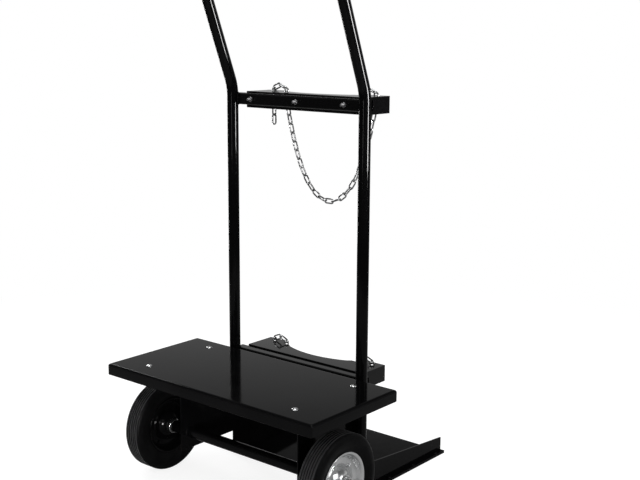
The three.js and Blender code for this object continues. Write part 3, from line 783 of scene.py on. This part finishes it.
def paint_land_highlight(material):
    """Greys the lands of the tread, at the full radius of the tyre, as a painted highlight of the ribs made
    patchy by a noise, and leaves its grooves black.
    """
    nodes, links = material.node_tree.nodes, material.node_tree.links
    coords = nodes.new("ShaderNodeTexCoord").outputs["Object"]
    off_axle = nodes.new("ShaderNodeVectorMath")
    off_axle.operation = "SUBTRACT"
    off_axle.inputs[1].default_value = hub_middle
    links.new(coords, off_axle.inputs[0])
    radial = nodes.new("ShaderNodeVectorMath")
    radial.operation = "MULTIPLY"
    radial.inputs[1].default_value = (0, 1, 1)
    links.new(off_axle.outputs["Vector"], radial.inputs[0])
    radius = nodes.new("ShaderNodeVectorMath")
    radius.operation = "LENGTH"
    links.new(radial.outputs["Vector"], radius.inputs[0])
    land = nodes.new("ShaderNodeMapRange")
    land.inputs["From Min"].default_value = tyre_r - LAND_FADE
    land.inputs["From Max"].default_value = tyre_r - LAND_FULL
    links.new(radius.outputs["Value"], land.inputs["Value"])
    patchy = nodes.new("ShaderNodeMath")
    patchy.operation = "MULTIPLY"
    links.new(land.outputs["Result"], patchy.inputs[0])
    highlight_patches = spread(nodes, links, noise(nodes, links, coords, LAND_PATCHES), *LAND_HIGHLIGHT_SPREAD)
    links.new(highlight_patches, patchy.inputs[1])
    # Mixes the painted highlight grey into the rubber's colour
    mix = nodes.new("ShaderNodeMixRGB")
    mix.inputs["Color2"].default_value = LAND_HIGHLIGHT_GREY
    links.new(patchy.outputs[0], mix.inputs["Fac"])
    colour = nodes["Principled BSDF"].inputs["Base Color"]
    links.new(colour.links[0].from_socket, mix.inputs["Color1"])
    links.new(mix.outputs["Color"], colour)


def tyre_profile():
    """Grooved tread, round shoulders, swelling sides and a bore on the rim."""
    shoulder = [
        (tyre_r, TREAD_HALF),
        (tyre_r - 1.9 * MM, TREAD_HALF + 2 * MM),
        (tyre_r - 5.5 * MM, TREAD_HALF + 4.2 * MM),
        (tyre_r - 10.5 * MM, tyre_half - 0.5 * MM),
        (tyre_r - 16 * MM, tyre_half),
        (tyre_r - 24 * MM, tyre_half - 1.3 * MM),
        (tyre_r - 31 * MM, tyre_half - 3.4 * MM),
        (TYRE_BORE_R + RIM_LIP_H + 1.2 * MM, TYRE_BEAD + 0.5 * MM),
        (TYRE_BORE_R + RIM_LIP_H, TYRE_BEAD),
    ]
    side = smooth_curve(shoulder)
    tread = []
    for i in range(GROOVES):
        middle = (i - (GROOVES - 1) / 2) * GROOVE_PITCH
        tread += [
            (tyre_r, middle - GROOVE_W / 2),
            (tyre_r - GROOVE_DEPTH, middle - GROOVE_FLOOR / 2),
            (tyre_r - GROOVE_DEPTH, middle + GROOVE_FLOOR / 2),
            (tyre_r, middle + GROOVE_W / 2),
        ]
    inner = [(radius, -height) for radius, height in reversed(side)]
    bore = [(TYRE_BORE_R, TYRE_BEAD), (TYRE_BORE_R, -TYRE_BEAD)]
    return [*inner, *tread, *side, *bore]


def rim_profile():
    """Outer half of the rim: rolled lip, deep barrel, pressed ridge, domed middle."""
    barrel = TYRE_BORE_R - SEAT
    face = SEAT / 2 + RIM_SHEET
    eye = hub_r + SEAT
    lip = RIM_HALF - RIM_SHEET
    rolled = [
        (barrel + RIM_LIP_H, lip),
        (barrel + RIM_LIP_H, RIM_HALF - 0.5 * MM),
        (barrel + RIM_LIP_H - 0.8 * MM, RIM_HALF),
        (barrel + 1.6 * MM, RIM_HALF - 0.1 * MM),
        (barrel - 1 * MM, RIM_HALF - 1.2 * MM),
        (barrel - 2.8 * MM, RIM_HALF - 4.2 * MM),
        (DISH_R + 6.2 * MM, face + 9 * MM),
        (DISH_R + 4.2 * MM, face + 5 * MM),
        (DISH_R + 2 * MM, face + 1.9 * MM),
        (DISH_R - 0.2 * MM, face + 0.4 * MM),
        (DISH_R - 2 * MM, face),
    ]
    ridge = [
        (DISC_R + 1.5 * MM, face),
        (DISC_R + 0.4 * MM, face + 0.6 * MM),
        (DISC_R - 0.9 * MM, face + 1.9 * MM),
        (DISC_R - 2.2 * MM, face + 0.9 * MM),
        (DISC_R - 3 * MM, face + 0.6 * MM),
    ]
    domed = [
        (DISC_R - 3.9 * MM, face + 1.8 * MM),
        (DISC_R - 6 * MM, face + 6.4 * MM),
        (DISC_R - 8.8 * MM, face + 10.6 * MM),
        (DISC_R - 12.4 * MM, face + 14 * MM),
        (DISC_R - 16 * MM, DOME_H + RIM_SHEET - 1.3 * MM),
        (eye + 1.6 * MM, DOME_H + RIM_SHEET - 0.4 * MM),
        (eye, DOME_H + RIM_SHEET),
    ]
    back = [(eye, DOME_H), (DISC_R - RIM_SHEET, SEAT / 2), (barrel, SEAT / 2), (barrel, lip)]
    return [*smooth_curve(rolled, RIM_STEPS), *smooth_curve([*ridge, *domed], RIM_STEPS), *back]


def sleeve(outer, inner, low, high, edge=EDGE):
    """Profile of a turned ring with broken edges."""
    return [
        (inner, low + edge), (inner + edge, low), (outer - edge, low), (outer, low + edge),
        (outer, high - edge), (outer - edge, high), (inner + edge, high), (inner, high - edge),
    ]


def rim_bolts(flip):
    """Small bolts that hold the two halves of the rim together, on the flat ring of one half."""
    shape = Shape()
    base = SEAT / 2 + RIM_SHEET
    for i in range(RIM_BOLTS):
        turn = RIM_BOLT_TURN + 2 * math.pi * i / RIM_BOLTS
        head = hex_bar(RIM_BOLT_AF, base, base + RIM_BOLT_H)
        place = RIM_BOLT_RING_R * Vector((math.cos(turn), math.sin(turn), 0))
        shape.join(head.moved(Matrix.Translation(place)))
    return shape.moved(Matrix.Scale(-1, 4, Z)) if flip else shape


def wheel(prefix, side):
    """One wheel, and the washer and pin that keep it on the shaft."""
    body = f"{prefix}_wheel"
    place = wheel_place(side)

    def turned(name, profile, slot, node, sides=ROUND_SMALL, rides=body):
        piece(f"{body}_{name}", lathe(profile, sides).moved(place), slot, rides, [f"{body}_{node}"])

    outer = rim_profile()
    inner = [(radius, -height) for radius, height in reversed(outer)]
    turned("ribbed_tyre", tyre_profile(), "tyre_rubber", "tyre", ROUND_WHEEL)
    turned("pressed_rim_outer", outer, "zinc", "rim_outer", ROUND_WHEEL)
    # The inner half of each rim and its bolts are black paint: painted shade, standing in for zinc that
    # sits in shadow under the tray.
    turned("pressed_rim_inner", inner, "black_paint", "rim_inner", ROUND_WHEEL)
    for where, slot, flip in (("outer", "zinc", False), ("inner", "black_paint", True)):
        piece(f"{body}_rim_bolts_{where}", rim_bolts(flip).moved(place), slot, body, crease=HEX_CREASE)
    turned("turned_hub", sleeve(hub_r, HUB_BORE_R, -hub_half, hub_half), "zinc", "hub", ROUND_TUBE)
    bush_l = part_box(f"{body}_bush_outer")[1].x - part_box(f"{body}_bush_outer")[0].x
    ends = (("outer", hub_half - bush_l, hub_half), ("inner", -hub_half, bush_l - hub_half))
    for where, low, high in ends:
        profile = sleeve(BUSH_R, BUSH_BORE_R, low, high)
        turned(f"flanged_bush_{where}", profile, "bush_plastic", f"bush_{where}")
    washer_low, washer_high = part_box(f"{body}_washer")
    washer_r = (washer_high.z - washer_low.z) / 2
    start = hub_half + SEAT
    profile = sleeve(washer_r, BUSH_BORE_R, start, start + washer_high.x - washer_low.x, EDGE / 2)
    turned("flat_washer", profile, "zinc", "washer", ROUND_TUBE, "frame")
    pin_low, pin_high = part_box(f"{body}_lock_pin")
    pin_r = (pin_high.x - pin_low.x) / 2
    half = (pin_high.z - pin_low.z) / 2
    tip_r = pin_r * PIN_TIP
    rounded = [(tip_r, -half), (pin_r, EDGE - half), (pin_r, half - EDGE), (tip_r, half)]
    shape = lathe(rounded, closed=False).moved(Matrix.Translation((pin_low + pin_high) / 2))
    piece(f"{body}_spring_pin", shape, "zinc", "frame", [f"{body}_lock_pin"])


paint_land_highlight(MATERIALS["tyre_rubber"])
for prefix, side in SIDES:
    wheel(prefix, side)


def axle():
    """Axle tube, and the shaft inside it."""
    low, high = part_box("axle_tube")
    along = Matrix.Translation(centre("axle_tube")) @ Matrix.Rotation(math.pi / 2, 4, "Y")
    half = (high.x - low.x) / 2
    shape = lathe(sleeve(TUBE_R, TUBE_R - TUBE_WALL, -half, half, TUBE_EDGE), ROUND_TUBE)
    piece("axle_tube_turned", shape.moved(along), "black_paint", "frame", ["axle_tube"])
    low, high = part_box("axle_shaft")
    half = (high.x - low.x) / 2
    radius = (high.z - low.z) / 2
    profile = [
        (radius - SHAFT_EDGE, -half),
        (radius, SHAFT_EDGE - half),
        (radius, half - SHAFT_EDGE),
        (radius - SHAFT_EDGE, half),
    ]
    shape = lathe(profile, ROUND_TUBE, closed=False)
    piece("axle_shaft_turned", shape.moved(along), "bright_steel", "frame", ["axle_shaft"])


axle()

# Chains: smooth welded links at the places of the model's own
STRETCH = (LINK_L - LINK_W) / 2
END_HALF = LINK_L / 2 - WIRE_R
PITCH = LINK_L - 4 * WIRE_R + CHAIN_BITE
chain_y = saddle_high.y - CHAIN_SET
hole_x = saddle_high.x - HOLE_SET
notch_x = saddle_high.x - NOTCH_SET
span = hole_x - notch_x
rise = math.sqrt(PITCH**2 - span**2 / 4)
lift = LINK_W / 2 - rise / PITCH * (PITCH / 2 - STRETCH) + SEAT


def link_shape():
    """One link, long on X and wide on Y, with the seam of its butt weld on one side."""
    reach = LINK_W / 2 - WIRE_R
    points, radii = [], []
    for sign in (1, -1):
        for i in range(LINK_STEPS + 1):
            turn = math.pi * (i / LINK_STEPS - 0.5)
            along = STRETCH + reach * math.cos(turn)
            points.append(Vector((sign * along, sign * reach * math.sin(turn), 0)))
            radii.append(WIRE_R)
        for shift in (SEAM_REACH, 0.0, -SEAM_REACH):
            points.append(Vector((sign * shift * STRETCH, sign * reach, 0)))
            radii.append(WIRE_R * (LINK_SEAM if sign > 0 and shift == 0 else 1))
    return sweep(points, radii, WIRE_SIDES, closed=True)


LINK = link_shape()


def link_at(middle, along, flat):
    """A link in the chain's plane, or turned across it."""
    length = Vector((along[0], 0, along[1])).normalized()
    width = Y.cross(length) if flat else Y
    axes = Matrix((length, width, length.cross(width))).transposed().to_4x4()
    return LINK.moved(Matrix.Translation((middle[0], chain_y, middle[1])) @ axes)


def chain_end(level, prefix, side, tail_at_hole, tail):
    """Fixed end over a horn: a tail, the links in the hole and the notch, and two links over the top."""
    base = saddle_tops[level] + lift
    joints = [
        (side * hole_x, base - PITCH),
        (side * hole_x, base),
        (side * (hole_x - span / 2), base + rise),
        (side * notch_x, base),
        (side * notch_x, base - PITCH),
    ]
    if not tail_at_hole:
        joints.reverse()
    for i in range(tail):
        joints.insert(0, (joints[0][0], joints[0][1] - PITCH))
    shape = Shape()
    count = len(joints) - 1
    for i in range(count):
        (ax, az), (bx, bz) = joints[i], joints[i + 1]
        shape.join(link_at(((ax + bx) / 2, (az + bz) / 2), (bx - ax, bz - az), (count - i) % 2 == 1))
    node = f"{level}_chain_end_{prefix}"
    piece(f"{node}_links", shape, "zinc", "frame", [node], look="chain_zinc")


def free_chain(level):
    """The free length, which hangs as a catenary between the two end links."""
    hang = saddle_tops[level] + lift - PITCH / 2 - END_HALF
    start = END_HALF - 2 * WIRE_R - CHAIN_GAP
    length = (LINKS - 1) * PITCH + 2 * start
    half = (notch_x + hole_x) / 2
    low, high = half / CATENARY_RANGE, half * CATENARY_RANGE
    for i in range(CATENARY_STEPS):
        scale = (low + high) / 2
        if 2 * scale * math.sinh(half / scale) > length:
            low = scale
        else:
            high = scale
    sag = scale * (math.cosh(half / scale) - 1)
    shape = Shape()
    for i in range(LINKS):
        across = scale * math.asinh((start + i * PITCH - length / 2) / scale)
        height = hang - sag + scale * (math.cosh(across / scale) - 1)
        middle = ((hole_x - notch_x) / 2 + across, height)
        shape.join(link_at(middle, (1, math.sinh(across / scale)), i % 2 == 1))
    chain = f"{level}_chain"
    piece(f"{chain}_links", shape, "zinc", chain, [chain], look="chain_zinc")


for level in LEVELS:
    chain_end(level, "left", -1, True, TAIL_LEFT)
    chain_end(level, "right", 1, False, TAIL_RIGHT)
    free_chain(level)


# Folded sheets and square tubes keep the model's solids, with broken edges and paint
def shade_group():
    """Smooth shading that keeps creases sharp."""
    group = bpy.data.node_groups.new("smooth_by_angle", "GeometryNodeTree")
    group.interface.new_socket("Geometry", in_out="INPUT", socket_type="NodeSocketGeometry")
    group.interface.new_socket("Geometry", in_out="OUTPUT", socket_type="NodeSocketGeometry")
    nodes, links = group.nodes, group.links
    start = nodes.new("NodeGroupInput")
    end = nodes.new("NodeGroupOutput")
    faces = nodes.new("GeometryNodeSetShadeSmooth")
    edges = nodes.new("GeometryNodeSetShadeSmooth")
    edges.domain = "EDGE"
    edges.inputs["Shade Smooth"].default_value = False
    angle = nodes.new("GeometryNodeInputMeshEdgeAngle")
    above = nodes.new("FunctionNodeCompare")
    above.operation = "GREATER_THAN"
    above.inputs["B"].default_value = CREASE
    links.new(angle.outputs["Unsigned Angle"], above.inputs["A"])
    links.new(above.outputs["Result"], edges.inputs["Selection"])
    links.new(start.outputs[0], faces.inputs["Geometry"])
    links.new(faces.outputs["Geometry"], edges.inputs["Geometry"])
    links.new(edges.outputs["Geometry"], end.inputs[0])
    return group


SMOOTH = shade_group()


def dress(node, edge):
    """Breaks the edges of one of the model's solids by that width, and shades it smooth."""
    made = frame["nodes"][node]
    weld = made.modifiers.new("weld", "WELD")
    weld.merge_threshold = WELD_GAP
    broken = made.modifiers.new("broken_edges", "BEVEL")
    broken.width = edge
    broken.segments = BEVEL_STEPS
    broken.limit_method = "ANGLE"
    broken.angle_limit = CREASE
    made.modifiers.new("smooth", "NODES").node_group = SMOOTH
    weighted = made.modifiers.new("flat_faces", "WEIGHTED_NORMAL")
    weighted.keep_sharp = True


for entry in frame["record"]["subparts"]:
    slots = frame["nodes"][entry["node"]].material_slots
    slots[0].material = MATERIALS[entry["material_slot"]]
for level in LEVELS:
    for kind in ("saddle", "cross_tube"):
        frame["nodes"][f"{level}_{kind}"].material_slots[0].material = MATERIALS["saddle_paint"]
for node in ("left_cheek", "right_cheek", "left_side_wall", "right_side_wall", "platform_plate"):
    dress(node, EDGE)
for level in LEVELS:
    dress(f"{level}_cross_tube", TUBE_EDGE)
    dress(f"{level}_saddle", SADDLE_EDGE)


# Camera, floor and light
def camera():
    """Camera of the photograph, from its place, direction and roll."""
    back = Vector((
        math.sin(CAMERA_AZIMUTH) * math.cos(CAMERA_ELEVATION),
        -math.cos(CAMERA_AZIMUTH) * math.cos(CAMERA_ELEVATION),
        math.sin(CAMERA_ELEVATION),
    ))
    level = Vector((math.cos(CAMERA_AZIMUTH), math.sin(CAMERA_AZIMUTH), 0))
    upward = back.cross(level)
    right = level * math.cos(CAMERA_ROLL) + upward * math.sin(CAMERA_ROLL)
    up = upward * math.cos(CAMERA_ROLL) - level * math.sin(CAMERA_ROLL)
    data = bpy.data.cameras.new("camera")
    data.lens = CAMERA_LENS
    data.sensor_width = SENSOR_WIDTH
    made = bpy.data.objects.new("camera", data)
    made.matrix_world = Matrix.Translation(CAMERA_AT) @ Matrix((right, up, back)).transposed().to_4x4()
    bpy.context.scene.collection.objects.link(made)
    bpy.context.scene.camera = made


def seen_directly(nodes, links):
    """Factors for the rays that show the background, and for those of the camera alone.

    The background shows to the camera, off gloss and through glass.
    """
    path = nodes.new("ShaderNodeLightPath")
    both = nodes.new("ShaderNodeMath")
    both.operation = "MAXIMUM"
    links.new(path.outputs["Is Camera Ray"], both.inputs[0])
    links.new(path.outputs["Is Glossy Ray"], both.inputs[1])
    every = nodes.new("ShaderNodeMath")
    every.operation = "MAXIMUM"
    links.new(both.outputs[0], every.inputs[0])
    links.new(path.outputs["Is Transmission Ray"], every.inputs[1])
    return every.outputs[0], path.outputs["Is Camera Ray"]


def floor():
    """Pale sheet with the object's shadow, fading to white at its rim; gloss sees a darker sheet."""
    material = bpy.data.materials.new("floor")
    material.use_nodes = True
    nodes, links = material.node_tree.nodes, material.node_tree.links
    nodes.remove(nodes["Principled BSDF"])
    seen, camera_ray = seen_directly(nodes, links)
    shadowed = nodes.new("ShaderNodeBsdfDiffuse")
    shadowed.inputs["Color"].default_value = (*[FLOOR_SHADE] * 3, 1)
    glow = nodes.new("ShaderNodeEmission")
    glow.inputs["Strength"].default_value = FLOOR_GLOW
    near = nodes.new("ShaderNodeAddShader")
    links.new(shadowed.outputs[0], near.inputs[0])
    links.new(glow.outputs[0], near.inputs[1])
    white = nodes.new("ShaderNodeEmission")
    coords = nodes.new("ShaderNodeTexCoord")
    away = nodes.new("ShaderNodeVectorMath")
    away.operation = "LENGTH"
    links.new(coords.outputs["Object"], away.inputs[0])
    fade = nodes.new("ShaderNodeMapRange")
    fade.interpolation_type = "SMOOTHSTEP"
    fade.inputs["From Min"].default_value = SHADOW_REACH
    fade.inputs["From Max"].default_value = FLOOR_R
    links.new(away.outputs["Value"], fade.inputs["Value"])
    shown = nodes.new("ShaderNodeMixShader")
    links.new(fade.outputs["Result"], shown.inputs["Fac"])
    links.new(near.outputs[0], shown.inputs[1])
    links.new(white.outputs[0], shown.inputs[2])
    mirrored = nodes.new("ShaderNodeBsdfDiffuse")
    mirrored.inputs["Color"].default_value = (*[FLOOR_GLOSS] * 3, 1)
    sight = nodes.new("ShaderNodeMixShader")
    links.new(camera_ray, sight.inputs["Fac"])
    links.new(mirrored.outputs[0], sight.inputs[1])
    links.new(shown.outputs[0], sight.inputs[2])
    lit = nodes.new("ShaderNodeBsdfDiffuse")
    lit.inputs["Color"].default_value = (*[FLOOR_LIT] * 3, 1)
    mix = nodes.new("ShaderNodeMixShader")
    links.new(seen, mix.inputs["Fac"])
    links.new(lit.outputs[0], mix.inputs[1])
    links.new(sight.outputs[0], mix.inputs[2])
    links.new(mix.outputs[0], nodes["Material Output"].inputs["Surface"])
    mesh = bpy.data.meshes.new("floor")
    rim = circle(Vector(), X, Y, FLOOR_R, ROUND_WHEEL)
    mesh.from_pydata([tuple(v) for v in rim], [], [list(range(ROUND_WHEEL))])
    mesh.materials.append(material)
    made = bpy.data.objects.new("floor", mesh)
    made.location.z = -SEAT
    bpy.context.scene.collection.objects.link(made)


def world():
    """White behind the object and a soft fill; gloss sees a graded studio, before and behind the object."""
    made = bpy.data.worlds.new("studio")
    made.use_nodes = True
    nodes, links = made.node_tree.nodes, made.node_tree.links
    seen, camera_ray = seen_directly(nodes, links)
    coords = nodes.new("ShaderNodeTexCoord")
    split = nodes.new("ShaderNodeSeparateXYZ")
    links.new(coords.outputs["Generated"], split.inputs[0])
    falls = []
    for levels in (STUDIO_BACK, STUDIO_FRONT):
        fall = nodes.new("ShaderNodeValToRGB")
        stops = fall.color_ramp
        while len(stops.elements) < len(levels):
            stops.elements.new(0.5)
        for element, (height, level) in zip(stops.elements, levels):
            element.position = height
            element.color = (level, level, level, 1)
        links.new(split.outputs["Z"], fall.inputs["Fac"])
        falls.append(fall.outputs["Color"])
    facing = nodes.new("ShaderNodeVectorMath")
    facing.operation = "DOT_PRODUCT"
    facing.inputs[1].default_value = (math.sin(CAMERA_AZIMUTH), -math.cos(CAMERA_AZIMUTH), 0)
    links.new(coords.outputs["Generated"], facing.inputs[0])
    front = nodes.new("ShaderNodeMapRange")
    front.interpolation_type = "SMOOTHSTEP"
    front.inputs["From Min"].default_value = FRONT_STARTS
    front.inputs["From Max"].default_value = FRONT_FULL
    links.new(facing.outputs["Value"], front.inputs["Value"])
    studio = nodes.new("ShaderNodeMixRGB")
    links.new(front.outputs["Result"], studio.inputs["Fac"])
    links.new(falls[0], studio.inputs["Color1"])
    links.new(falls[1], studio.inputs["Color2"])
    shown = nodes.new("ShaderNodeMixRGB")
    shown.inputs["Color2"].default_value = WHITE
    links.new(camera_ray, shown.inputs["Fac"])
    links.new(studio.outputs[0], shown.inputs["Color1"])
    behind = nodes["Background"]
    links.new(shown.outputs[0], behind.inputs["Color"])
    fill = nodes.new("ShaderNodeBackground")
    fill.inputs["Color"].default_value = WHITE
    fill.inputs["Strength"].default_value = WORLD_FILL
    mix = nodes.new("ShaderNodeMixShader")
    links.new(seen, mix.inputs["Fac"])
    links.new(fill.outputs[0], mix.inputs[1])
    links.new(behind.outputs[0], mix.inputs[2])
    links.new(mix.outputs[0], nodes["World Output"].inputs["Surface"])
    bpy.context.scene.world = made


def lamp(name, at, target, size, power, grid=180):
    """Area lamp out of the camera's sight; a grid narrows the angle that it lights, in degrees."""
    data = bpy.data.lights.new(name, "AREA")
    data.shape = "RECTANGLE"
    data.size, data.size_y = size
    data.energy = power
    data.spread = math.radians(grid)
    made = bpy.data.objects.new(name, data)
    made.location = at
    made.visible_camera = False
    made.rotation_euler = (Vector(target) - Vector(at)).to_track_quat("-Z", "Y").to_euler()
    bpy.context.scene.collection.objects.link(made)


camera()
floor()
world()
lamp("key", at=(2.4, -1.2, 2.4), target=MIDDLE, size=(2.0, 2.0), power=40)
lamp("strip_front", at=(0.45, -2.1, 0.85), target=MIDDLE, size=(0.1, 0.9), power=5)
lamp("strip_tubes", at=(1.14, 0.24, 0.785), target=TUBES, size=(0.2, 0.425), power=1.15, grid=30)
lamp("strip_wheel", at=(2.1, 0.62, 0.62), target=NEAR_WHEEL, size=(0.34, 0.95), power=0.25, grid=20)
lamp("strip_hub", at=(1.0, -1.1, 0.2), target=FAR_HUB, size=(0.2, 0.3), power=0.4, grid=25)
lamp("strip_left", at=(-1.9, 0.5, 0.9), target=MIDDLE, size=(0.12, 1.7), power=12)
lamp("overhead", at=(0, 0, 3.2), target=MIDDLE, size=(2.0, 2.0), power=45)
bpy.context.scene.view_settings.view_transform = "Standard"
